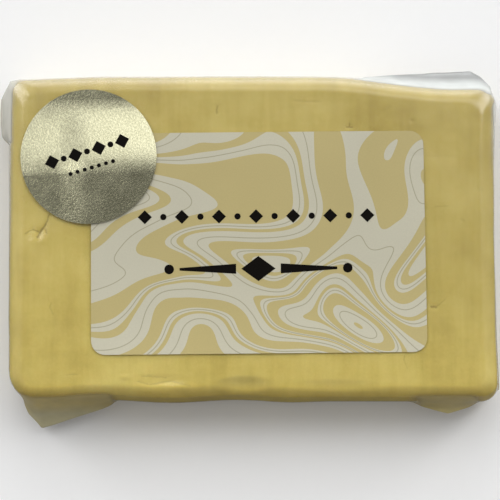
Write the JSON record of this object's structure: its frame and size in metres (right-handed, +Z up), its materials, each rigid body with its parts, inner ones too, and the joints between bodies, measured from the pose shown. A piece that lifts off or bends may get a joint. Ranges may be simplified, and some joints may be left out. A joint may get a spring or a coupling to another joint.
{
  "type": "halloumi cheese pack",
  "caption": "Rounded slab of halloumi sealed in clear shrink film with film ears at its corners, a paper label and a round foil sticker.",
  "frame": {"origin": "on the flat underside, below the middle of the whole outline with its film ears", "axes": "+Z up and out of the labelled face, +Y towards the label's upper edge, +X along the slab to its right end"},
  "size_m": [0.1384, 0.0992, 0.0217],
  "materials": {
    "film_wrapped_cheese": "pale yellow cheese under clear glossy film",
    "label_paper": "cream paper with ochre marbling, satin",
    "gold_foil": "fine-grained champagne foil"
  },
  "bodies": {
    "root": {"cheese_pack": "film_wrapped_cheese", "front_label": "label_paper", "round_sticker": "gold_foil"}
  },
  "joints": []
}
